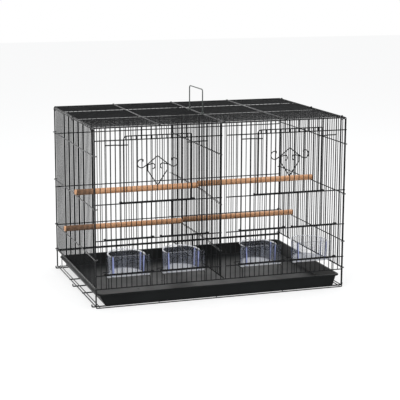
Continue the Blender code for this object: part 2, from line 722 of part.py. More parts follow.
def perch(name, side, bays, carrier_z):
    """A rod that rests on the side's cross wire and on the divider's pair of wires."""
    radius = PERCH_DIAMETER / 2
    outer = HALF_WIDTH + PERCH_OUTER_REACH
    inner = RAIL / 2 + GAP
    length = outer - inner
    middle = side * (outer + inner) / 2
    y = bays * PITCH
    height = carrier_z + CROSS / 2 + GAP + radius
    mesh = bpy.data.meshes.new(name)
    shape = bmesh.new()
    turn = Matrix.Translation((middle, y, height)) @ Matrix.Rotation(math.pi / 2, 4, "Y")
    bmesh.ops.create_cone(
        shape,
        cap_ends=True,
        segments=PERCH_SIDES,
        radius1=radius,
        radius2=radius,
        depth=length,
        matrix=turn,
    )
    shape.to_mesh(mesh)
    shape.free()
    body = add_object(name, mesh)
    kerf_start = HALF_WIDTH - RAIL / 2 - PERCH_KERF_PAST_RAIL
    plane = slice_at(y)
    u = sorted((side * kerf_start, side * (outer + radius)))
    kerf = solid("kerf", [plane.box(u, about(height, PERCH_DIAMETER * 2), about(0.0, PERCH_KERF))])
    return cut(body, kerf)


def tray_ring(inset, height):
    """A rectangle with round corners, drawn in from the tray's rim by an inset."""
    radius = max(TRAY_CORNER - inset, TRAY_WALL)
    right = TRAY_HALF_WIDTH - inset - radius
    front = TRAY_FRONT_Y + inset + radius
    back = TRAY_BACK_Y - inset - radius
    corners = ((right, back), (-right, back), (-right, front), (right, front))
    places = []
    for index, corner in enumerate(corners):
        for point in arc(corner, radius, index * math.pi / 2, math.pi / 2, TRAY_CORNER_STEPS):
            places.append(Vector((point.x, point.y, height)))
    return places


def tray():
    """The pan under the birds: sloping walls and a flat rim turned down at its edge."""
    bottom = BASE_WIRE - BASE_LAP + BASE_CROSS + GAP
    top = bottom + TRAY_HEIGHT
    wall_top = TRAY_RIM
    floor_inset = TRAY_RIM + TRAY_SLOPE
    profile = (
        (floor_inset, bottom),
        (wall_top, top - TRAY_WALL),
        (TRAY_WALL, top - TRAY_WALL),
        (TRAY_WALL, top - TRAY_RIM_LIP),
        (0.0, top - TRAY_RIM_LIP),
        (0.0, top),
        (wall_top + TRAY_WALL, top),
        (floor_inset + TRAY_WALL, bottom + TRAY_WALL),
    )
    return loft("tray", [tray_ring(inset, height) for inset, height in profile])


def wire_pair(name, height, tail):
    """A hairpin of wire: both legs run along the divider's bars, the bend is at the front."""
    front = DIVIDER_FRONT - PAIR_FRONT_STEP
    back = HALF_DEPTH + tail
    bend = arc((0.0, front), DIVIDER_HALF_PAIR, 0.0, -math.pi, PAIR_STEPS)
    points = [Vector((DIVIDER_HALF_PAIR, back))] + bend + [Vector((-DIVIDER_HALF_PAIR, back))]
    return flat_wire(name, points, PAIR_WIRE, CROSS, level(height))


def divider():
    """The middle grille, which draws out through the slot in the front panel."""
    low = DIVIDER_BOTTOM
    back = HALF_DEPTH + RAIL / 2
    front = DIVIDER_FRONT - RAIL / 2
    foot = FRONT_Y - DIVIDER_FOOT
    outline = [(foot, low), (back, low), (back, DIVIDER_TOP), (front, DIVIDER_TOP)]
    outline += [(front, low + RAIL), (foot, low + RAIL)]
    field = rectangle((front + RAIL, back - RAIL), (low + RAIL, DIVIDER_TOP - RAIL))
    body = flat_piece("divider", [outline, field], RAIL, MIDDLE)
    bars = []
    for number in range(1, SIDE_BAYS):
        if bay_y(number) - BAR > front + RAIL:
            v = (low + RAIL / 2, DIVIDER_TOP - RAIL / 2)
            bars.append(MIDDLE.box(about(bay_y(number), BAR), v, about(0.0, BAR)))
    weld(body, solid("bars", bars))
    for height in (LOWER_CARRIER_Z, UPPER_CARRIER_Z):
        weld(body, wire_pair("pair", height, CORNER_STEP + PAIR_TAIL))
    return weld(body, wire_pair("pair", TOP_RAIL_Z - DIVIDER_HIGH_PAIR_DROP, 0.0))


def carry_handle():
    """A bail of round wire with an eye at each foot, round the lid's middle cross wire."""
    bend = HANDLE_CORNER_RADIUS
    axis_z = LID_WIRE_Z
    foot_z = axis_z + HANDLE_EYE_RADIUS
    right = arc((HANDLE_HALF - bend, HANDLE_TOP_Z - bend), bend, 0.0, math.pi / 2, HANDLE_CORNER_STEPS)
    half = [Vector((0.0, HANDLE_HALF, foot_z))] + [Vector((0.0, point.x, point.y)) for point in right]
    mirrored = [Vector((0.0, -point.y, point.z)) for point in reversed(half)]
    body = round_wire("carry_handle", half + mirrored, HANDLE_WIRE)
    for side in (-1, 1):
        ring = arc((0.0, axis_z), HANDLE_EYE_RADIUS, math.pi / 2, math.pi * 2, HANDLE_EYE_SIDES)[:-1]
        places = [Vector((point.x, side * HANDLE_HALF, point.y)) for point in ring]
        weld(body, round_wire("eye", places, HANDLE_WIRE, closed=True))
    return body


def dress(item, colour, roughness, metallic, smooth=False):
    """Gives a piece its own material, and smooth shading where it is round."""
    item.data.materials.clear()
    item.data.materials.append(make_material(item.name, colour, roughness, metallic))
    if smooth:
        item.data.shade_smooth()
        item.data.set_sharp_from_angle(angle=SMOOTH_ANGLE)


def build_cage():
    wires = [front_panel(), back_panel(), top_panel(), base_frame(), divider()]
    wires.append(side_panel("left_panel", LEFT, -1))
    wires.append(side_panel("right_panel", RIGHT, 1))
    for word, bars in zip(("left", "right"), DOOR_BARS):
        wires.append(main_door("main_door_" + word, bars))
        wires.append(catch_bar("catch_" + word, bars[0], bars[1], DOOR_CATCH_Z))
        wires.append(scroll("scroll_" + word, bars))
        wires.append(door_guide("door_guide_" + word + "_a", bars, -1))
        wires.append(door_guide("door_guide_" + word + "_b", bars, 1))
    cups = []
    for number, bars in enumerate(FEEDER_BARS, start=1):
        wires.append(feeder_door("feeder_door_" + str(number), bars))
        wires.append(cup_shelf("cup_shelf_" + str(number), bars))
        cups.append(cup("cup_" + str(number), bars))
    perches = []
    for word, side, upper, lower in zip(("left", "right"), (-1, 1), UPPER_PERCH_BAYS, LOWER_PERCH_BAYS):
        perches.append(perch("perch_upper_" + word, side, upper, UPPER_CARRIER_Z))
        perches.append(perch("perch_lower_" + word, side, lower, LOWER_CARRIER_Z))
    for item in wires:
        dress(item, WIRE_BLACK, WIRE_ROUGHNESS, WIRE_METALLIC)
    for item in cups:
        dress(item, CUP_CLEAR, CUP_ROUGHNESS, 0.0)
    for item in perches:
        dress(item, PERCH_WOOD, PERCH_ROUGHNESS, 0.0, smooth=True)
    dress(tray(), TRAY_BLACK, TRAY_ROUGHNESS, 0.0)
    dress(carry_handle(), HANDLE_GREEN, HANDLE_ROUGHNESS, HANDLE_METALLIC, smooth=True)


clear_scene()
PARTS, CUTTERS = make_collections()
build_cage()
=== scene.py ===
import math

import bmesh
import bpy
from mathutils import Matrix, Vector


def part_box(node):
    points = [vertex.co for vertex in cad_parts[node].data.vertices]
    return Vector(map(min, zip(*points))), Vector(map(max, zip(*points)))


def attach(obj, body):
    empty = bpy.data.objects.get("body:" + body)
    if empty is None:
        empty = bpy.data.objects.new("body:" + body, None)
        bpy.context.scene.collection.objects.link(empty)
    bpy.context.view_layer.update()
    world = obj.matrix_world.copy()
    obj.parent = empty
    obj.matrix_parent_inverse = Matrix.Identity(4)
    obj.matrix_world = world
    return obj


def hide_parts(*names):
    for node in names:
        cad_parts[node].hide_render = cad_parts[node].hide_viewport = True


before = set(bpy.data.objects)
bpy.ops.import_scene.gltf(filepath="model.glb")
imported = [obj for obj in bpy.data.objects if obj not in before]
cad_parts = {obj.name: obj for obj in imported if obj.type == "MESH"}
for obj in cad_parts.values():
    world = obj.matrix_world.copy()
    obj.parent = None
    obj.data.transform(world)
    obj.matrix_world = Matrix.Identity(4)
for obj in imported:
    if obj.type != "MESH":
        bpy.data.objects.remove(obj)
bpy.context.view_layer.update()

# The cage's layout, in metres, as the frame has it.
PITCH = 0.0119
FRONT_BAYS = 51
SIDE_BAYS = 33
HALF_WIDTH = PITCH * FRONT_BAYS / 2
HALF_DEPTH = PITCH * SIDE_BAYS / 2
FRONT_Y = -HALF_DEPTH - 0.00415

# Diameters of the wires, their weld beads and the perches.
RAIL = 0.0032
CORNER_RAIL = 0.0025
DIVIDER_RAIL = 0.0020
BAR = 0.0020
LID_BAR = 0.0016
LID_HOOK_WIRE = 0.0018
CROSS = 0.0024
HOOKED_CROSS = 0.0025
WELDED_CROSS = 0.0026
DOOR_WIRE = 0.0026
BOLD_DOOR_WIRE = 0.0033
SHELF_WIRE = 0.0020
HAIRPIN_WIRE = 0.0016
HANDLE_WIRE = 0.0027
SCROLL_WIRE = 0.0023
BASE_WIRE = 0.0030
BEAD = 0.0042
PERCH = 0.0140

# How far wires stand out from their panel's plane, run on past its corners, bend and keep apart.
BAR_OUT = -0.0005
CUT_BAR_OUT = -0.0001
CROSS_OUT = 0.00175
DOOR_OUT = 0.0046
CROSS_PAST = 0.0015
PERCH_PAST = 0.0025
BASE_PAST = 0.0085
CORNER_BEND = 0.003
WELD_GAP = 0.0003

# Where the front's whole bars end towards the inside, and its cut bars towards the outside.
BARS_INSIDE_Y = FRONT_Y - BAR_OUT + BAR / 2
BARS_OUTSIDE_Y = FRONT_Y - CUT_BAR_OUT - BAR / 2

# Heights.
TOP_RAIL_Z = 0.4104
LID_Z = 0.4096
SIDE_TOP_Z = 0.4061
SIDE_BOTTOM_Z = 0.0045
SLOT_RAIL_Z = 0.0445
DOOR_SILL_Z = 0.2384
DOOR_HEAD_Z = 0.3817
DOOR_TOP_Z = 0.3905
GUIDE_Z = 0.3712
FEEDER_SILL_Z = 0.0760
FEEDER_HEAD_Z = 0.1558
SIDE_CROSS_HEIGHTS = (0.0485, 0.1130, 0.2280, 0.3475)
BACK_RAIL_HEIGHTS = (0.0448, 0.0426)
BACK_CROSS_HEIGHTS = (0.1103, 0.2080, 0.3430)
BASE_TIP_Z = 0.0075
BASE_COLUMN_Z = 0.0039
SHELF_Z = 0.0670
HANDLE_TOP_Z = 0.4698
SCROLL_APEX_Z = 0.3438

# Bars beside each opening, and places of the floor's and the lid's wires.
DOOR_BARS = ((5, 19), (32, 46))
FEEDER_BARS = ((2, 11), (13, 22), (29, 38), (40, 49))
BASE_ROWS = (-0.187, -0.065, 0.0, 0.065, 0.185)
BASE_COLUMNS = (-0.296, -0.156, -0.017, 0.149, 0.296)
BASE_COLUMN_ENDS = (FRONT_Y - 0.0016, 0.1986)
LID_CROSS_PLACES = (-0.1525, 0.0, 0.1525)
LID_HOOK_ROWS = (-15, 0, 16)
DOOR_HALF = 6.75 * PITCH

# The lid's bars hang a little lower row by row, and start anew every twelve rows.
LID_WAVE = 12
LID_FRONT_ROWS = 13
LID_FRONT_SAG = 0.0004
LID_BACK_SAG = 0.0007

# The divider, and for each pair of its hairpin wires: height, tail past the back, front drop.
DIVIDER_BOTTOM = 0.0464
DIVIDER_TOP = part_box("divider")[1].z
DIVIDER_FRONT = -0.17985
DIVIDER_FOOT_ENDS = (FRONT_Y - 0.0025, HALF_DEPTH + 0.0014)
DIVIDER_PAIRS = ((0.1130, 0.00765, 0.0050), (0.2280, 0.00765, 0.0105), (0.3340, 0.0, 0.0))
HAIRPIN_HALF = 0.0020
HAIRPIN_BEND_Y = -0.0400


def bar_x(number):
    return (number - FRONT_BAYS / 2) * PITCH


def bay_y(number):
    return (number - SIDE_BAYS / 2) * PITCH


def middle_of(bars):
    return (bar_x(bars[0]) + bar_x(bars[1])) / 2


def arc(centre, radius, start, sweep, steps):
    """Points in a plane along an arc, from its start angle through its sweep, in degrees."""
    points = []
    for step in range(steps + 1):
        angle = math.radians(start + sweep * step / steps)
        reach = (radius * math.cos(angle), radius * math.sin(angle))
        points.append(Vector((centre[0] + reach[0], centre[1] + reach[1])))
    return points


def rounded(first, corner, last, share):
    """A place on the curve that starts towards a corner and ends away from it."""
    return first.lerp(corner, share).lerp(corner.lerp(last, share), share)


def softened(points, radius, steps=5, closed=False):
    """The same line with each corner turned into a small bend."""
    places = [Vector(point) for point in points]
    count = len(places)
    result = []
    for index, corner in enumerate(places):
        if not closed and index in (0, count - 1):
            result.append(corner)
            continue
        before = places[index - 1] - corner
        after = places[(index + 1) % count] - corner
        reach = min(radius, before.length * 0.49, after.length * 0.49)
        first = corner + before.normalized() * reach
        last = corner + after.normalized() * reach
        for step in range(steps + 1):
            result.append(rounded(first, corner, last, step / steps))
    return result


def tube(shape, points, diameter, sides=10, closed=False, mark=0):
    """A round wire along a line of points. Its open ends are slightly domed."""
    radius = diameter / 2
    places = [Vector(point) for point in points]
    sizes = [1.0] * len(places)
    if not closed:
        dome = radius * 0.5
        first = (places[1] - places[0]).normalized() * dome
        last = (places[-2] - places[-1]).normalized() * dome
        places = [places[0], places[0] + first] + places[1:-1] + [places[-1] + last, places[-1]]
        sizes = [0.55] + [1.0] * (len(places) - 2) + [0.55]
    count = len(places)
    rings = []
    normal = None
    previous = None
    for index, place in enumerate(places):
        legs = []
        if index > 0 or closed:
            legs.append((place - places[index - 1]).normalized())
        if index < count - 1 or closed:
            legs.append((places[(index + 1) % count] - place).normalized())
        along = sum(legs, Vector()).normalized()
        if normal is None:
            aside = Vector((0, 0, 1)) if abs(along.z) < 0.9 else Vector((1, 0, 0))
            normal = along.cross(aside).normalized()
        else:
            normal = previous.rotation_difference(along) @ normal
        normal = (normal - along * normal.dot(along)).normalized()
        previous = along
        other = along.cross(normal)
        bend = (legs[-1] - legs[0]).normalized() if len(legs) > 1 else Vector()
        stretch = min(1 / max(along.dot(legs[0]), 0.5), 1.6) - 1
        ring = []
        for side in range(sides):
            angle = math.tau * (side + 0.5) / sides
            offset = (normal * math.cos(angle) + other * math.sin(angle)) * radius * sizes[index]
            offset += bend * offset.dot(bend) * stretch
            ring.append(shape.verts.new(place + offset))
        rings.append(ring)
    pairs = list(zip(rings, rings[1:]))
    if closed:
        pairs.append((rings[-1], rings[0]))
    for lower, upper in pairs:
        for side in range(sides):
            follow = (side + 1) % sides
            face = shape.faces.new((lower[side], lower[follow], upper[follow], upper[side]))
            face.material_index = mark
    if not closed:
        shape.faces.new(rings[0][::-1]).material_index = mark
        shape.faces.new(rings[-1]).material_index = mark


def finish_piece(shape, name, node, body, materials):
    """Turns a working mesh into the piece that stands for a node."""
    bmesh.ops.recalc_face_normals(shape, faces=shape.faces)
    mesh = bpy.data.meshes.new(name)
    shape.to_mesh(mesh)
    shape.free()
    mesh.shade_smooth()
    mesh.set_sharp_from_angle(angle=math.radians(50))
    for material in materials:
        mesh.materials.append(material)
    item = bpy.data.objects.new(name, mesh)
    bpy.context.scene.collection.objects.link(item)
    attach(item, body)
    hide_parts(node)
    return item


def wire_piece(name, node, body, wires, materials):
    """A piece of round wires, each as straight(), bent() or bead() gives it."""
    shape = bmesh.new()
    for points, diameter, sides, closed, mark in wires:
        tube(shape, points, diameter, sides, closed, mark)
    return finish_piece(shape, name, node, body, materials)


def straight(first, last, diameter, sides=10, mark=0):
    """A wire's points, diameter, sides, whether it is a loop, and its material's place."""
    return ([first, last], diameter, sides, False, mark)


def bent(points, diameter, sides=12, closed=False, mark=0):
    return (points, diameter, sides, closed, mark)


def three_sided(corners, diameter):
    """A wire bent round a rectangle's last three sides. A wire of its own makes the first side."""
    return bent(softened(corners[1:] + corners[:1], CORNER_BEND), diameter)


def bead(centre, along):
    """A spot weld's bead of melted wire, longer than it is wide."""
    reaches = (-0.0022, -0.0011, 0.0011, 0.0022)
    return ([centre + along * reach for reach in reaches], BEAD, 10, False, 0)


# Materials.


def new_material(name):
    material = bpy.data.materials.new(name)
    material.use_nodes = True
    tree = material.node_tree
    shader = tree.nodes["Principled BSDF"]
    return material, tree, shader


def add_node(tree, kind, inputs=(), **settings):
    node = tree.nodes.new(kind)
    for key, value in settings.items():
        setattr(node, key, value)
    for key, value in dict(inputs).items():
        if isinstance(value, bpy.types.NodeSocket):
            tree.links.new(value, node.inputs[key])
        else:
            node.inputs[key].default_value = value
    return node


def object_places(tree, scale=(1, 1, 1)):
    """Texture places in metres on the piece, stretched by a scale."""
    places = add_node(tree, "ShaderNodeTexCoord")
    settings = {"Vector": places.outputs["Object"], "Scale": scale}
    return add_node(tree, "ShaderNodeMapping", settings).outputs["Vector"]


def noise_at(tree, places, scale, detail=3.0, roughness=0.55):
    settings = {"Vector": places, "Scale": scale, "Detail": detail, "Roughness": roughness}
    return add_node(tree, "ShaderNodeTexNoise", settings).outputs["Fac"]


def ramp(tree, value, stops):
    """A colour ramp with the given (place, colour) stops."""
    node = add_node(tree, "ShaderNodeValToRGB", {"Fac": value})
    while len(node.color_ramp.elements) < len(stops):
        node.color_ramp.elements.new(0.5)
    for element, (place, colour) in zip(node.color_ramp.elements, stops):
        element.position = place
        element.color = (*colour, 1.0) if len(colour) == 3 else colour
    return node.outputs["Color"]


def span(tree, value, low, high, to_low, to_high):
    """A value moved from one range to another, and kept in it."""
    limits = {"From Min": low, "From Max": high, "To Min": to_low, "To Max": to_high}
    return add_node(tree, "ShaderNodeMapRange", {"Value": value, **limits}).outputs["Result"]


def combine(tree, operation, first, second):
    return add_node(tree, "ShaderNodeMath", {0: first, 1: second}, operation=operation).outputs[0]


def mix_colours(tree, share, first, last):
    node = add_node(tree, "ShaderNodeMix", data_type="RGBA")
    for key, value in ((0, share), (6, first), (7, last)):
        if isinstance(value, bpy.types.NodeSocket):
            tree.links.new(value, node.inputs[key])
        else:
            node.inputs[key].default_value = value if key == 0 else (*value, 1.0)
    return node.outputs[2]


def bump(tree, shader, height, strength, distance):
    settings = {"Height": height, "Strength": strength, "Distance": distance}
    node = add_node(tree, "ShaderNodeBump", settings)
    tree.links.new(node.outputs["Normal"], shader.inputs["Normal"])


def painted_wire(name, dark, light, paler_patches, rough, gloss_level):
    """Baked enamel on wire: blotchy gloss, fine orange peel and small paler chips."""
    material, tree, shader = new_material(name)
    places = object_places(tree)
    blotches = noise_at(tree, places, 38.0)
    colour = ramp(tree, blotches, ((0.30, dark), (0.70, light)))
    chips = noise_at(tree, places, 520.0, 2.0, 0.6)
    chip_share = span(tree, chips, 0.69, 0.76, 0.0, 0.7)
    colour = mix_colours(tree, chip_share, colour, paler_patches)
    tree.links.new(colour, shader.inputs["Base Color"])
    gloss = noise_at(tree, places, 160.0)
    tree.links.new(span(tree, gloss, 0.3, 0.7, rough[0], rough[1]), shader.inputs["Roughness"])
    peel = noise_at(tree, places, 900.0, 4.0)
    bump(tree, shader, peel, 0.35, 0.0002)
    shader.inputs["Metallic"].default_value = 0.0
    shader.inputs["Specular IOR Level"].default_value = gloss_level
    return material


def moulded_plastic(name, rough, gloss_level):
    """Black styrene: faintly grained and blotched, with fine scratches and paler patches along its
    upper rim.
    """
    material, tree, shader = new_material(name)
    places = object_places(tree)
    blotches = noise_at(tree, places, 14.0, 5.0)
    stops = ((0.3, (0.0032, 0.0040, 0.0042)), (0.75, (0.0085, 0.0100, 0.0105)))
    colour = ramp(tree, blotches, stops)
    scratches = noise_at(tree, object_places(tree, (9.0, 160.0, 90.0)), 1.0, 6.0, 0.7)
    scratched = span(tree, scratches, 0.66, 0.76, 0.0, 0.3)
    colour = mix_colours(tree, scratched, colour, (0.022, 0.024, 0.025))
    split = add_node(tree, "ShaderNodeSeparateXYZ", {"Vector": places})
    # Paler in patches above a set height, along the upper rim.
    rim = span(tree, split.outputs["Z"], 0.0308, 0.0316, 0.0, 1.0)
    rim_patches = noise_at(tree, places, 240.0, 4.0)
    paler_patches = combine(tree, "MULTIPLY", rim, span(tree, rim_patches, 0.50, 0.66, 0.0, 0.35))
    colour = mix_colours(tree, paler_patches, colour, (0.030, 0.032, 0.033))
    tree.links.new(colour, shader.inputs["Base Color"])
    tree.links.new(span(tree, blotches, 0.3, 0.7, rough[0], rough[1]), shader.inputs["Roughness"])
    grain = noise_at(tree, places, 700.0, 3.0)
    bump(tree, shader, grain, 0.12, 0.0001)
    shader.inputs["Specular IOR Level"].default_value = gloss_level
    return material


def turned_wood():
    """Untreated beech or ramin rod: long fibres, short dark pores and a warm blotchy tone."""
    material, tree, shader = new_material("perch_wood")
    fibres = noise_at(tree, object_places(tree, (5.0, 260.0, 260.0)), 1.0, 6.0, 0.6)
    stops = ((0.28, (0.50, 0.235, 0.105)), (0.47, (0.68, 0.36, 0.185)), (0.72, (0.80, 0.47, 0.27)))
    colour = ramp(tree, fibres, stops)
    blotches = noise_at(tree, object_places(tree, (7.0, 40.0, 40.0)), 1.0, 3.0)
    blotched = span(tree, blotches, 0.35, 0.75, 0.0, 0.45)
    colour = mix_colours(tree, blotched, colour, (0.60, 0.28, 0.13))
    pores = noise_at(tree, object_places(tree, (55.0, 900.0, 900.0)), 1.0, 2.0)
    pored = span(tree, pores, 0.66, 0.74, 0.0, 0.5)
    colour = mix_colours(tree, pored, colour, (0.22, 0.09, 0.04))
    tree.links.new(colour, shader.inputs["Base Color"])
    tree.links.new(span(tree, fibres, 0.3, 0.7, 0.62, 0.48), shader.inputs["Roughness"])
    bump(tree, shader, fibres, 0.3, 0.0003)
    return material


def clear_plastic(name, tint, highlight_white, body_alpha):
    """Clear polystyrene with flow lines, denser edge-on, and a painted white highlight at its foot
    and along its rim, strongest at the back.
    """
    material, tree, shader = new_material(name)
    places = object_places(tree)
    split = add_node(tree, "ShaderNodeSeparateXYZ", {"Vector": places})
    # Painted highlight: the foot and the rim's top are mixed towards white, the rim more so
    # towards the back.
    foot_highlight = span(tree, split.outputs["Z"], 0.0740, 0.0715, 0.0, 0.70)
    lip_highlight = span(tree, split.outputs["Z"], 0.1144, 0.1152, 0.0, 0.90)
    behind = span(tree, split.outputs["Y"], FRONT_Y + 0.005, FRONT_Y + 0.020, 0.25, 1.0)
    white = combine(tree, "MAXIMUM", foot_highlight, combine(tree, "MULTIPLY", lip_highlight, behind))
    tree.links.new(mix_colours(tree, white, tint, highlight_white), shader.inputs["Base Color"])
    turned = add_node(tree, "ShaderNodeLayerWeight", {"Blend": 0.5}).outputs["Facing"]
    edge_on = span(tree, turned, 0.60, 1.0, body_alpha, min(body_alpha + 0.55, 0.95))
    flow = noise_at(tree, object_places(tree, (120.0, 120.0, 9.0)), 1.0, 3.0)
    walls = combine(tree, "ADD", edge_on, span(tree, flow, 0.48, 0.66, 0.0, 0.18))
    tree.links.new(combine(tree, "MAXIMUM", walls, white), shader.inputs["Alpha"])
    tree.links.new(span(tree, flow, 0.3, 0.7, 0.25, 0.40), shader.inputs["Roughness"])
    bump(tree, shader, flow, 0.10, 0.0003)
    shader.inputs["IOR"].default_value = 1.59
    return material


BLACK = painted_wire(
    "black_wire",
    (0.0035, 0.0040, 0.0045),
    (0.0085, 0.0095, 0.0105),
    (0.040, 0.042, 0.044),
    (0.30, 0.45),
    0.15,
)
ORNAMENT = painted_wire(
    "black_ornament",
    (0.0035, 0.0038, 0.0040),
    (0.0080, 0.0085, 0.0090),
    (0.035, 0.035, 0.036),
    (0.28, 0.42),
    0.15,
)
# A paler and glossier copy of the black wire paint, for the cross wires, hooks, floor columns and
# hairpins. Its paler colour is painted highlight.
PAINTED_HIGHLIGHT_BLACK = painted_wire(
    "black_wire_painted_highlight",
    (0.010, 0.011, 0.0115),
    (0.022, 0.024, 0.025),
    (0.080, 0.083, 0.086),
    (0.20, 0.34),
    1.0,
)
GREEN = painted_wire(
    "handle_wire",
    (0.022, 0.033, 0.027),
    (0.040, 0.055, 0.047),
    (0.12, 0.14, 0.13),
    (0.22, 0.34),
    0.9,
)
WALL = moulded_plastic("black_tray_wall", (0.35, 0.50), 0.12)
PAN = moulded_plastic("black_tray_floor", (0.26, 0.40), 0.15)
WOOD = turned_wood()
# The cup's clear plastic, and a copy with a painted edge-on glint, bluish and denser, for its
# front corners and side bands. Both carry the painted highlight at the foot and rim.
CLEAR = clear_plastic("clear_cup", (0.27, 0.29, 0.35), (0.90, 0.91, 0.94), 0.05)
EDGE_GLINT = clear_plastic("clear_cup_painted_edge_glint", (0.42, 0.48, 0.86), (0.84, 0.86, 0.96), 0.66)


# Fixed wire panels.


def on_panel(side, u, v, out=0.0):
    """A place on the front (1) or back (-1) panel: across, up and out of the cage."""
    return Vector((u, side * (FRONT_Y - out), v))


def panel_frame(side):
    """A front or back panel's outer wire and the thinner wire along its foot."""
    low = CROSS / 2
    corners = [on_panel(side, -HALF_WIDTH, low), on_panel(side, HALF_WIDTH, low)]
    corners += [on_panel(side, HALF_WIDTH, TOP_RAIL_Z), on_panel(side, -HALF_WIDTH, TOP_RAIL_Z)]
    return [three_sided(corners, CORNER_RAIL), straight(corners[0], corners[1], CROSS, 12)]


def panel_bar(side, x, low, high, out):
    return straight(on_panel(side, x, low, out), on_panel(side, x, high, out), BAR)


def panel_cross(side, first, last, height, diameter=WELDED_CROSS):
    ends = [on_panel(side, x, height, CROSS_OUT) for x in (first, last)]
    return straight(*ends, diameter, 12)


def between(number, spans):
    return any(low < number < high for low, high in spans)


def front_panel():
    wires = panel_frame(1)
    ends = [on_panel(1, x, SLOT_RAIL_Z) for x in (-HALF_WIDTH, HALF_WIDTH)]
    wires.append(straight(*ends, CORNER_RAIL, 12))
    for number in range(1, FRONT_BAYS):
        x = bar_x(number)
        at_feeder = between(number, FEEDER_BARS)
        at_door = between(number, DOOR_BARS)
        out = CUT_BAR_OUT if at_feeder or at_door else BAR_OUT
        start = SLOT_RAIL_Z
        if at_feeder:
            wires.append(panel_bar(1, x, start, FEEDER_SILL_Z, out))
            start = FEEDER_HEAD_Z
        if at_door:
            wires.append(panel_bar(1, x, start, DOOR_SILL_Z, out))
            start = DOOR_HEAD_Z
        wires.append(panel_bar(1, x, start, TOP_RAIL_Z, out))
    inner = bar_x(26) - 0.001
    for height in (FEEDER_SILL_Z, FEEDER_HEAD_Z, DOOR_SILL_Z, DOOR_HEAD_Z):
        for side in (-1, 1):
            wires.append(panel_cross(1, side * inner, side * (HALF_WIDTH + CROSS_PAST), height))
    wire_piece("front_grille", "front_panel", "cage", wires, (BLACK, PAINTED_HIGHLIGHT_BLACK))


def back_panel():
    wires = panel_frame(-1)
    for number in range(1, FRONT_BAYS):
        wires.append(panel_bar(-1, bar_x(number), CROSS / 2, TOP_RAIL_Z, BAR_OUT))
    end = HALF_WIDTH + CROSS_PAST
    wires += [panel_cross(-1, -end, end, height, RAIL) for height in BACK_RAIL_HEIGHTS]
    wires += [panel_cross(-1, -end, end, height) for height in BACK_CROSS_HEIGHTS]
    wire_piece("back_grille", "back_panel", "cage", wires, (BLACK, PAINTED_HIGHLIGHT_BLACK))


def side_panel(word, side):
    """A side grille, whose cross wires hook round the front and back panels' corner rails."""
    x = side * HALF_WIDTH
    corners = [Vector((x, -HALF_DEPTH, SIDE_BOTTOM_Z)), Vector((x, HALF_DEPTH, SIDE_BOTTOM_Z))]
    corners += [Vector((x, HALF_DEPTH, SIDE_TOP_Z)), Vector((x, -HALF_DEPTH, SIDE_TOP_Z))]
    wires = [three_sided(corners, CORNER_RAIL)]
    for height in (SIDE_BOTTOM_Z, SIDE_CROSS_HEIGHTS[0]):
        ends = [Vector((x, y, height)) for y in (-HALF_DEPTH, HALF_DEPTH)]
        wires.append(straight(*ends, CROSS, 12))
    for number in range(1, SIDE_BAYS):
        place = side * (HALF_WIDTH + BAR_OUT)
        ends = [Vector((place, bay_y(number), z)) for z in (SIDE_CROSS_HEIGHTS[0], SIDE_TOP_Z)]
        wires.append(straight(*ends, BAR))
    radius = 0.00345
    start = math.degrees(math.acos(CROSS_OUT / radius))
    hook = arc((HALF_WIDTH, FRONT_Y), radius, -200, 200 + start, 18)
    hook += [Vector((point.x, -point.y)) for point in reversed(hook)]
    for height in SIDE_CROSS_HEIGHTS:
        points = [Vector((side * point.x, point.y, height)) for point in hook]
        wires.append(bent(points, HOOKED_CROSS, mark=1))
    wire_piece(word + "_grille", word + "_panel", "cage", wires, (BLACK, PAINTED_HIGHLIGHT_BLACK))


def top_panel():
    loop = []
    for x, y in ((-1, -1), (1, -1), (1, 1), (-1, 1)):
        loop.append(Vector((x * HALF_WIDTH, y * HALF_DEPTH, LID_Z)))
    wires = [bent(softened(loop, CORNER_BEND, closed=True), RAIL, closed=True)]
    for number in range(1, SIDE_BAYS):
        share = 1.0 - (25.5 - number) % LID_WAVE / LID_WAVE
        sag = share * (LID_BACK_SAG if number > LID_FRONT_ROWS else LID_FRONT_SAG)
        z = LID_Z + BAR_OUT - sag
        ends = [Vector((x, bay_y(number), z)) for x in (-HALF_WIDTH, HALF_WIDTH)]
        wires.append(straight(*ends, LID_BAR))
    reach = HALF_DEPTH + CROSS_PAST
    z = LID_Z + CROSS_OUT
    for x in LID_CROSS_PLACES:
        ends = [Vector((x, y, z)) for y in (-reach, reach)]
        wires.append(straight(*ends, HOOKED_CROSS, 12, 1))
        for end in (-1, 1):
            wires.append(bead(Vector((x, end * reach, z + 0.0002)), Vector((0, 1, 0))))
    radius = RAIL / 2 * math.sqrt(2) + WELD_GAP + LID_HOOK_WIRE / 2
    hook = arc((HALF_WIDTH, SIDE_TOP_Z), radius, 75, -235, 18)
    for side in (-1, 1):
        for row in LID_HOOK_ROWS:
            y = row * PITCH
            points = [Vector((side * point.x, y, point.y)) for point in hook]
            wires.append(bent(points, LID_HOOK_WIRE))
            wires.append(bead(Vector((side * HALF_WIDTH, y, LID_Z + 0.0014)), Vector((1, 0, 0))))
    wire_piece("lid_grille", "top_panel", "cage", wires, (BLACK, PAINTED_HIGHLIGHT_BLACK))


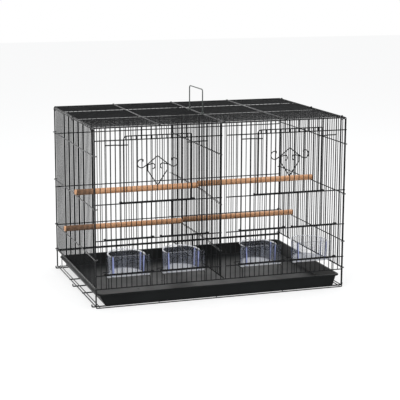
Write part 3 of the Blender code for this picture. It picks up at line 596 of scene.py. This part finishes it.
def base_frame():
    """The floor wires. Every other one turns up at its ends outside the cage."""
    wires = []
    low = BASE_WIRE / 2
    reach = HALF_WIDTH + BASE_PAST - BASE_WIRE / 2
    for index, y in enumerate(BASE_ROWS):
        if index in (0, 2, 4):
            route = ((-reach, BASE_TIP_Z), (-reach, low), (reach, low), (reach, BASE_TIP_Z))
            points = softened([Vector((x, y, z)) for x, z in route], CORNER_BEND)
        else:
            points = [Vector((x, y, low)) for x in (-HALF_WIDTH, HALF_WIDTH)]
        wires.append(bent(points, BASE_WIRE))
    for x in BASE_COLUMNS:
        ends = [Vector((x, y, BASE_COLUMN_Z)) for y in BASE_COLUMN_ENDS]
        wires.append(straight(*ends, CROSS, 12, 1))
    wire_piece("floor_grid", "base_frame", "cage", wires, (BLACK, PAINTED_HIGHLIGHT_BLACK))


# Doors with their guides and ornaments, cup shelves, divider and handle.


def catch_bar(low_bar, high_bar, height, short=0.0):
    """A door's cross bar, curled at both ends round the bars beside the opening."""
    front_y = FRONT_Y - DOOR_OUT
    tail_y = BARS_INSIDE_Y + WELD_GAP + DOOR_WIRE / 2
    centre_y = (front_y + tail_y) / 2
    radius = (tail_y - front_y) / 2
    right = arc((bar_x(high_bar) + 0.0009, centre_y), radius, -90, 180, 12)
    left = arc((bar_x(low_bar) - 0.0009 + short, centre_y), radius, 90, 180, 12)
    flat = [Vector((bar_x(low_bar) + 0.0019 + short, tail_y))] + left + right
    flat.append(Vector((bar_x(high_bar) - 0.0019, tail_y)))
    return bent([Vector((point.x, point.y, height)) for point in flat], DOOR_WIRE)


# How much less each main door reaches to its left, and its catch bar's share of that.
DOOR_SHORT = {"left": 0.0028, "right": 0.0}
CATCH_SHARE = 0.4


def main_door(word, bars):
    middle = middle_of(bars)
    foot = DOOR_SILL_Z + CROSS / 2 + WELD_GAP + DOOR_WIRE / 2
    y = FRONT_Y - DOOR_OUT
    right = middle + DOOR_HALF
    left = middle - (DOOR_HALF - DOOR_SHORT[word])
    route = ((right, foot), (right, DOOR_TOP_Z), (left, DOOR_TOP_Z), (left, foot))
    corners = [Vector((x, y, z)) for x, z in route]
    crown = (corners[1] + corners[2]) / 2
    left_bend = 0.009
    outline = softened(corners[:2] + [crown], CORNER_BEND)
    outline += softened([crown] + corners[2:], left_bend, 10)[1:]
    wires = [bent(outline, DOOR_WIRE), catch_bar(*bars, foot, DOOR_SHORT[word] * CATCH_SHARE)]
    if DOOR_SHORT[word]:
        bend_start = corners[2] - Vector((0, 0, left_bend))
        wires.append(straight(corners[3], bend_start, BOLD_DOOR_WIRE))
    for number in range(bars[0] + 1, bars[1]):
        ends = [Vector((bar_x(number), y, z)) for z in (foot, DOOR_TOP_Z)]
        wires.append(straight(*ends, BAR))
    node = "main_door_" + word
    item = wire_piece("sliding_door_" + word, node, node + "_body", wires, (BLACK, PAINTED_HIGHLIGHT_BLACK))
    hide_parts("catch_" + word)


def feeder_door(number, bars):
    foot = FEEDER_SILL_Z + CROSS / 2 + WELD_GAP + DOOR_WIRE / 2
    head = FEEDER_HEAD_Z + CROSS / 2 + WELD_GAP + DOOR_WIRE / 2
    y = FRONT_Y - DOOR_OUT
    wires = [catch_bar(*bars, foot), catch_bar(*bars, head)]
    for bar in range(bars[0] + 1, bars[1]):
        ends = [Vector((bar_x(bar), y, z)) for z in (foot, head)]
        wires.append(straight(*ends, BAR))
    node = "feeder_door_" + str(number)
    wire_piece("feeder_flap_" + str(number), node, node + "_body", wires, (BLACK, PAINTED_HIGHLIGHT_BLACK))


# How far each ornament is welded to the left of its door's middle and above the usual height.
SCROLL_SHIFT = {"left": Vector((0.0, 0.0)), "right": Vector((0.0016, 0.0028))}


def scroll(word, bars):
    """An ornament of two wires: a bow with a loop at each end, and a pointed drop with curls."""
    middle = middle_of(bars) - SCROLL_SHIFT[word].x
    apex = SCROLL_APEX_Z + SCROLL_SHIFT[word].y
    y = FRONT_Y - DOOR_OUT - BAR / 2 - WELD_GAP - 0.0012
    loop = arc((0.0375, -0.0160), 0.0096, -128, 242, 26)
    bow = [Vector((0.0, 0.0)), Vector((0.0230, -0.0180))] + loop + [Vector((0.0340, -0.0120))]
    curl = arc((0.0120, -0.0230), 0.0060, 62, 205, 20)
    drop = [Vector((0.0, -0.0662)), Vector((0.0230, -0.0325)), Vector((0.0226, -0.0192))] + curl
    wires = []
    for half in (bow, drop):
        mirrored = [Vector((-place.x, place.y)) for place in half[:0:-1]]
        line = [Vector((middle + place.x, y, apex + place.y)) for place in mirrored + half]
        wires.append(bent(softened(line, 0.0022, 4), SCROLL_WIRE))
    body = "main_door_" + word + "_body"
    wire_piece("ornament_" + word, "scroll_" + word, body, wires, (ORNAMENT,))


def door_guide(word, letter, bars, side):
    """A wire welded beside a door and bent out over it, so that the door slides behind."""
    near = BARS_OUTSIDE_Y - WELD_GAP - DOOR_WIRE / 2
    far = FRONT_Y - DOOR_OUT - DOOR_WIRE - WELD_GAP
    route = ((10.0, near), (8.0, near), (7.25, far), (5.75, far))
    middle = middle_of(bars)
    points = [Vector((middle + side * bays * PITCH, y, GUIDE_Z)) for bays, y in route]
    name = "guide_" + word + "_" + letter
    wires = [bent(softened(points, 0.004), DOOR_WIRE)]
    wire_piece(name, "door_" + name, "cage", wires, (BLACK,))


def cup_shelf(number, bars):
    """A wire that rises from the slot rail, runs back, round behind the cup and forward again."""
    middle = middle_of(bars)
    leg_y = FRONT_Y - RAIL / 2 - WELD_GAP - SHELF_WIRE / 2
    back_y = CUP_FRONT_Y + SHELF_DEPTH
    between_y = (leg_y + back_y) / 2
    route = []
    for side in (1, -1):
        x = middle + side * SHELF_ARM
        leg = [(x, leg_y, SLOT_RAIL_Z - 0.001), (x, leg_y, SHELF_Z), (x, between_y, SHELF_Z)]
        half = softened(leg, 0.0012)
        route += half[:-1] if side == 1 else half[-2::-1]
    far = [Vector((middle + side * SHELF_ARM, back_y, SHELF_Z)) for side in (1, -1)]
    split = len(route) // 2
    line = softened([route[split - 1]] + far + [route[split]], 0.006, 8)
    wires = [bent(route[:split] + line[1:-1] + route[split:], SHELF_WIRE)]
    name = "cup_rack_" + str(number)
    wire_piece(name, "cup_shelf_" + str(number), "cage", wires, (BLACK, PAINTED_HIGHLIGHT_BLACK))


def divider():
    """The middle grille, with hairpin wires that bend down towards their front ends."""
    low = DIVIDER_BOTTOM + RAIL / 2
    high = DIVIDER_TOP - RAIL / 2
    route = ((DIVIDER_FRONT, low), (HALF_DEPTH, low), (HALF_DEPTH, high), (DIVIDER_FRONT, high))
    wires = [three_sided([Vector((0, y, z)) for y, z in route], DIVIDER_RAIL)]
    ends = [Vector((0, y, low)) for y in DIVIDER_FOOT_ENDS]
    wires.append(straight(*ends, RAIL, 12))
    for number in range(1, SIDE_BAYS):
        if bay_y(number) > DIVIDER_FRONT + 0.003:
            ends = [Vector((0, bay_y(number), z)) for z in (low, high)]
            wires.append(straight(*ends, BAR))
    bend = arc((0.0, DIVIDER_FRONT - 0.0031), HAIRPIN_HALF, 0, -180, 12)
    for height, tail, drop in DIVIDER_PAIRS:
        leg = [Vector((HAIRPIN_HALF, HALF_DEPTH + tail)), Vector((HAIRPIN_HALF, HAIRPIN_BEND_Y))]
        flat = leg + bend + [Vector((-point.x, point.y)) for point in reversed(leg)]
        places = []
        for point in flat:
            share = (HAIRPIN_BEND_Y - point.y) / (HAIRPIN_BEND_Y - DIVIDER_FRONT)
            share = min(max(share, 0.0), 1.0)
            places.append(Vector((point.x, point.y, height - drop * share)))
        wires.append(bent(places, HAIRPIN_WIRE, mark=1))
    wire_piece("middle_grille", "divider", "divider_body", wires, (BLACK, PAINTED_HIGHLIGHT_BLACK))


def carry_handle():
    """A bail with an eye at each foot round the lid's middle cross wire."""
    axis_z = LID_Z + 0.0018
    radius = CROSS / 2 * math.sqrt(2) + WELD_GAP + HANDLE_WIRE / 2
    half = 0.0485
    foot = axis_z + radius
    route = ((half, foot), (half, HANDLE_TOP_Z), (-half, HANDLE_TOP_Z), (-half, foot))
    bail = softened([Vector((0, y, z)) for y, z in route], 0.007, 8)
    wires = [bent(bail, HANDLE_WIRE, 16)]
    for side in (-1, 1):
        ring = arc((0.0, axis_z), radius, 90, 360, 24)[:-1]
        eye = [Vector((point.x, side * half, point.y)) for point in ring]
        wires.append(bent(eye, HANDLE_WIRE, 14, True))
    body = "carry_handle_body"
    wire_piece("bail_handle", "carry_handle", body, wires, (GREEN,))


# Cups, perches and tray.

# The cups, and how far their wire shelves reach behind the cups' front and to each side.
CUP_FRONT_Y = BARS_INSIDE_Y + DOOR_WIRE + 2 * WELD_GAP
CUP_DEPTH = 0.0710
CUP_TOP_Z = 0.1170
CUP_BOTTOM_Z = 0.0683
CUP_FLOOR = 0.0022
CUP_HALF_WIDTH = 0.0416
CUP_FRONT_HALF = 0.0384
CUP_CORNER = 0.0028
WING_INNER = 0.0380
WING_OUTER = 0.0507
SHELF_DEPTH = 0.0555
SHELF_ARM = 0.0488


def cup_outline(middle, grow, front_grow, height):
    """A flat-fronted oval with rounded front corners, and which of its points take the painted
    edge-on glint.
    """
    cut_share = math.sqrt(1.0 - (CUP_FRONT_HALF / CUP_HALF_WIDTH) ** 2)
    full = CUP_DEPTH / (1.0 + cut_share)
    centre_y = CUP_FRONT_Y + full * cut_share
    front_y = CUP_FRONT_Y - front_grow
    wide = CUP_HALF_WIDTH + grow
    deep = full + grow
    start = math.acos((centre_y - front_y) / deep)
    trim = CUP_CORNER / deep
    steps = 56
    corner_steps = 6

    def oval(angle):
        x = middle + wide * math.sin(angle)
        return Vector((x, centre_y - deep * math.cos(angle), height))

    def corner(entry, tip, leave):
        shares = [step / corner_steps for step in range(corner_steps + 1)]
        return [rounded(entry, tip, leave, share) for share in shares]

    inward = Vector((CUP_CORNER, 0, 0))
    right = corner(oval(start) - inward, oval(start), oval(start + trim))
    left = corner(oval(-start - trim), oval(-start), oval(-start) + inward)
    sweep = (math.pi - start - trim) * 2
    curve = [oval(start + trim + sweep * step / steps) for step in range(1, steps)]
    side_bands = (9, 10, steps - 10, steps - 9)
    marks = [step in side_bands for step in range(1, steps)]
    glinting = [True] * (corner_steps + 1)
    return right + curve + left, glinting + marks + glinting


def cup(number, bars):
    """A hollow cup with a rolled rim. Its front corners and a band on each side, where the wall is
    seen edge-on, carry a painted glint: bluish and denser.
    """
    middle = middle_of(bars)
    top = CUP_TOP_Z
    floor_z = CUP_BOTTOM_Z + CUP_FLOOR
    # Each level of the wall: how far out at the sides and back, how far at the front, its height.
    profile = (
        (-0.0032, -0.0012, CUP_BOTTOM_Z),
        (-0.0022, -0.0003, CUP_BOTTOM_Z + 0.0006),
        (-0.0020, 0.0000, CUP_BOTTOM_Z + 0.0020),
        (-0.0002, 0.0000, top - 0.0030),
        (0.0004, 0.0003, top - 0.0022),
        (0.0013, 0.0012, top - 0.0018),
        (0.0015, 0.0015, top - 0.0009),
        (0.0011, 0.0011, top - 0.0001),
        (0.0000, 0.0000, top),
        (-0.0010, -0.0010, top - 0.0001),
        (-0.0016, -0.0016, top - 0.0010),
        (-0.0034, -0.0016, floor_z + 0.0022),
        (-0.0040, -0.0022, floor_z + 0.0006),
        (-0.0058, -0.0040, floor_z),
    )
    shape = bmesh.new()
    levels = []
    for grow, front_grow, height in profile:
        places, marks = cup_outline(middle, grow, front_grow, height)
        levels.append([shape.verts.new(place) for place in places])
    count = len(levels[0])
    for row, (lower, upper) in enumerate(zip(levels, levels[1:])):
        for index in range(count):
            follow = (index + 1) % count
            face = shape.faces.new((lower[index], lower[follow], upper[follow], upper[index]))
            # Faces on the outer and inner wall at these points take the painted edge-on glint.
            outer_or_inner_wall = row in (2, 10)
            front = index == count - 1
            if outer_or_inner_wall and marks[index] and marks[follow] and not front:
                face.material_index = 1
    shape.faces.new(levels[0][::-1])
    shape.faces.new(levels[-1])
    for side in (-1, 1):
        wing(shape, middle, side)
    node = "cup_" + str(number)
    finish_piece(shape, "feed_" + node, node, node + "_body", (CLEAR, EDGE_GLINT))


def wing(shape, middle, side):
    """The flat tab at one side of a cup's front, with rounded outer corners."""
    inner = middle + side * WING_INNER
    outer = middle + side * WING_OUTER
    low = CUP_BOTTOM_Z + 0.0001
    high = CUP_TOP_Z - 0.0016
    corners = [(inner, 0, low), (outer, 0, low), (outer, 0, high), (inner, 0, high)]
    edge = softened(corners, 0.0022, 5, closed=True)
    centre = sum(edge, Vector()) / len(edge)
    near = CUP_FRONT_Y + 0.00005
    rings = []
    for depth, inset in ((0.0, 0.0004), (0.0003, 0.0), (0.0012, 0.0), (0.0015, 0.0004)):
        ring = []
        for place in edge:
            inward = (centre - place).normalized() * inset
            ring.append(shape.verts.new(Vector((place.x, near + depth, place.z)) + inward))
        rings.append(ring)
    count = len(edge)
    for lower, upper in zip(rings, rings[1:]):
        for index in range(count):
            follow = (index + 1) % count
            shape.faces.new((lower[index], lower[follow], upper[follow], upper[index]))
    shape.faces.new(rings[0])
    shape.faces.new(rings[-1][::-1])


def carve(item, boxes):
    """Cuts boxes, each given by its middle and its size, out of a piece."""
    saw = bmesh.new()
    for middle, size in boxes:
        place = Matrix.Translation(middle) @ Matrix.Diagonal((*size, 1.0))
        bmesh.ops.create_cube(saw, size=1.0, matrix=place)
    mesh = bpy.data.meshes.new("kerf")
    saw.to_mesh(mesh)
    saw.free()
    cutter = bpy.data.objects.new("kerf", mesh)
    bpy.context.scene.collection.objects.link(cutter)
    change = item.modifiers.new("kerf", "BOOLEAN")
    change.operation = "DIFFERENCE"
    change.solver = "EXACT"
    change.use_self = True
    change.object = cutter
    bpy.context.view_layer.update()
    graph = bpy.context.evaluated_depsgraph_get()
    mesh = bpy.data.meshes.new_from_object(item.evaluated_get(graph))
    item.modifiers.clear()
    item.data = mesh
    mesh.shade_smooth()
    mesh.set_sharp_from_angle(angle=math.radians(50))
    bpy.data.objects.remove(cutter, do_unlink=True)


def perch(word, side, y, carrier_z, sink):
    """A rod with eased ends, a saw cut for a side bar, and notches where it sinks on its wires."""
    radius = PERCH / 2
    rest_z = carrier_z + CROSS / 2 + WELD_GAP
    height = rest_z + radius - sink
    outer = HALF_WIDTH + PERCH_PAST
    inner = RAIL / 2 + WELD_GAP
    shape = bmesh.new()
    rings = []
    stations = [(inner, 0.90), (inner + 0.0004, 0.975), (inner + 0.0011, 1.0)]
    stations += [(inner + (outer - inner) * step / 12, 1.0) for step in range(1, 12)]
    stations += [(outer - 0.0011, 1.0), (outer - 0.0004, 0.975), (outer, 0.90)]
    sides = 40
    for x, size in stations:
        ring = []
        for step in range(sides):
            angle = math.tau * (step + 0.5) / sides
            reach = Vector((0, math.cos(angle), math.sin(angle))) * radius * size
            ring.append(shape.verts.new(Vector((side * x, y, height)) + reach))
        rings.append(ring)
    for lower, upper in zip(rings, rings[1:]):
        for step in range(sides):
            follow = (step + 1) % sides
            shape.faces.new((lower[step], lower[follow], upper[follow], upper[step]))
    shape.faces.new(rings[0])
    shape.faces.new(rings[-1])
    node = "perch_" + word
    item = finish_piece(shape, "rod_" + word, node, node + "_body", (WOOD,))
    clear = outer + radius
    start = HALF_WIDTH - RAIL / 2 - 0.0006
    saw_cut = 0.0026
    across = 0.03
    boxes = [((side * (start + outer + radius) / 2, y, height), (clear - start, saw_cut, across))]
    if sink:
        for first, last in ((inner - radius, inner + 0.0014), (HALF_WIDTH + 0.0001, clear)):
            middle = (side * (first + last) / 2, y, rest_z - radius)
            boxes.append((middle, (last - first, across, PERCH)))
    carve(item, boxes)


# How far the tray stands out past the solid at its sides, front, back and top, and how much
# less its front wall slopes than the others.
TRAY_SIDES = 0.0045
TRAY_FRONT = 0.0060
TRAY_BACK = 0.0050
TRAY_TOP = 0.0022
TRAY_STEEPER = 0.0165


def tray():
    """The moulded pan: sloping walls, a flat rim turned down at its edge, and eased corners."""
    low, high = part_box("tray")
    half = (high.x - low.x) / 2 + TRAY_SIDES
    top = high.z + TRAY_TOP
    bottom = low.z
    # Each place is how far in from the rim's edge it lies, and its height.
    profile = (
        (0.0190, bottom),
        (0.0173, bottom + 0.0003),
        (0.0045, top - 0.0018),
        (0.0018, top - 0.0018),
        (0.0017, top - 0.0030),
        (0.0000, top - 0.0030),
        (0.0000, top),
        (0.0063, top),
        (0.0193, bottom + 0.0018),
        (0.0235, bottom + 0.0018),
    )
    profile = softened([(*place, 0.0) for place in profile], 0.0012, 4)
    shape = bmesh.new()
    rings = []
    for inset, height, _ in profile:
        radius = max(0.0150 - inset * 0.6, 0.0022)
        right = half - inset - radius
        steeper = TRAY_STEEPER * (top - height) / (top - bottom)
        front = low.y - TRAY_FRONT + inset - steeper + radius
        back = high.y + TRAY_BACK - inset - radius
        corners = ((right, back), (-right, back), (-right, front), (right, front))
        ring = []
        for index, corner in enumerate(corners):
            for point in arc(corner, radius, index * 90, 90, 10):
                ring.append(shape.verts.new((point.x, point.y, height)))
        rings.append(ring)
    count = len(rings[0])
    for place, lower, upper in zip(profile[1:], rings, rings[1:]):
        for index in range(count):
            follow = (index + 1) % count
            face = shape.faces.new((lower[index], lower[follow], upper[follow], upper[index]))
            inside = place.x > 0.0180 and place.y > bottom + 0.0010
            face.material_index = 1 if inside else 0
    shape.faces.new(rings[0][::-1])
    shape.faces.new(rings[-1]).material_index = 1
    finish_piece(shape, "moulded_tray", "tray", "tray_body", (WALL, PAN))


front_panel()
back_panel()
side_panel("left", -1)
side_panel("right", 1)
top_panel()
base_frame()
divider()
for word, bars in zip(("left", "right"), DOOR_BARS):
    main_door(word, bars)
    scroll(word, bars)
    door_guide(word, "a", bars, -1)
    door_guide(word, "b", bars, 1)
for number, bars in enumerate(FEEDER_BARS, start=1):
    feeder_door(number, bars)
    cup_shelf(number, bars)
    cup(number, bars)
# Each side's upper perch: its row from the middle, and how far it sinks on its wires.
for word, side, upper, sink in (("left", -1, -1.5, 0.0026), ("right", 1, -0.5, 0.0012)):
    perch("upper_" + word, side, upper * PITCH, SIDE_CROSS_HEIGHTS[2], sink)
    perch("lower_" + word, side, (upper + 10) * PITCH, SIDE_CROSS_HEIGHTS[1], 0.0)
tray()
carry_handle()


# Floor, background, lights and camera.

# Where the background shows, the floor glows this much and shades by the rest.
FLOOR_GLOW = 0.66
FLOOR_SHADED = (0.36, 0.36, 0.36)


def background_share(tree):
    """One for rays that show the background: the camera's own, in gloss or through plastic."""
    path = add_node(tree, "ShaderNodeLightPath")
    shown = combine(tree, "MAXIMUM", path.outputs["Is Camera Ray"], path.outputs["Is Glossy Ray"])
    return combine(tree, "MAXIMUM", shown, path.outputs["Is Transmission Ray"])


def make_floor():
    shape = bmesh.new()
    bmesh.ops.create_grid(shape, x_segments=1, y_segments=1, size=8.0)
    mesh = bpy.data.meshes.new("floor")
    shape.to_mesh(mesh)
    shape.free()
    floor = bpy.data.objects.new("floor", mesh)
    floor.location.z = -0.0002
    bpy.context.scene.collection.objects.link(floor)
    material, tree, shader = new_material("studio_floor")
    stops = ((0.3, (0.86, 0.86, 0.86)), (0.7, (0.89, 0.89, 0.89)))
    tone = ramp(tree, noise_at(tree, object_places(tree), 3.0), stops)
    shown = background_share(tree)
    tree.links.new(mix_colours(tree, shown, tone, FLOOR_SHADED), shader.inputs["Base Color"])
    shader.inputs["Roughness"].default_value = 0.8
    shader.inputs["Specular IOR Level"].default_value = 0.0
    shader.inputs["Emission Color"].default_value = (1, 1, 1, 1)
    glow = combine(tree, "MULTIPLY", shown, FLOOR_GLOW)
    tree.links.new(glow, shader.inputs["Emission Strength"])
    mesh.materials.append(material)


def make_world():
    world = bpy.data.worlds.new("studio")
    world.use_nodes = True
    tree = world.node_tree
    tree.nodes.clear()
    faint = {"Color": (0.98, 0.99, 1.0, 1), "Strength": 0.80}
    fill = add_node(tree, "ShaderNodeBackground", faint)
    white = add_node(tree, "ShaderNodeBackground", {"Color": (1, 1, 1, 1), "Strength": 1.0})
    mixed = add_node(tree, "ShaderNodeMixShader", {0: background_share(tree)})
    output = add_node(tree, "ShaderNodeOutputWorld")
    tree.links.new(fill.outputs[0], mixed.inputs[1])
    tree.links.new(white.outputs[0], mixed.inputs[2])
    tree.links.new(mixed.outputs[0], output.inputs["Surface"])
    bpy.context.scene.world = world


def area_light(name, place, target, size, power):
    data = bpy.data.lights.new(name, "AREA")
    data.shape = "RECTANGLE"
    data.size = size[0]
    data.size_y = size[1]
    data.energy = power
    lamp = bpy.data.objects.new(name, data)
    lamp.location = place
    lamp.rotation_euler = (Vector(target) - Vector(place)).to_track_quat("-Z", "Y").to_euler()
    bpy.context.scene.collection.objects.link(lamp)


def make_camera():
    """The photograph's camera, fitted to the cage's corners and bars on a 400 x 400 frame."""
    yaw, pitch, roll, focal = 0.3318, -0.1972, 0.0037, 1250.16
    along = math.cos(pitch)
    forward = Vector((math.sin(yaw) * along, math.cos(yaw) * along, math.sin(pitch)))
    level = Vector((math.cos(yaw), -math.sin(yaw), 0))
    above = level.cross(forward)
    right = level * math.cos(roll) + above * math.sin(roll)
    up = above * math.cos(roll) - level * math.sin(roll)
    data = bpy.data.cameras.new("camera")
    data.sensor_width = 36.0
    data.sensor_fit = "HORIZONTAL"
    data.lens = focal * 36.0 / 400.0
    data.clip_start = 0.05
    data.clip_end = 50.0
    camera = bpy.data.objects.new("camera", data)
    turn = Matrix((right, up, -forward)).transposed().to_4x4()
    camera.matrix_world = Matrix.Translation((-0.9674, -2.8405, 0.7932)) @ turn
    bpy.context.scene.collection.objects.link(camera)
    bpy.context.scene.camera = camera


make_floor()
make_world()
area_light("key", (-1.4, -1.6, 2.2), (0, 0, 0.2), (1.6, 1.6), 24.0)
area_light("top", (0.6, 0.4, 2.4), (0, 0, 0.2), (2.2, 2.2), 18.0)
make_camera()
bpy.context.scene.view_settings.view_transform = "Standard"
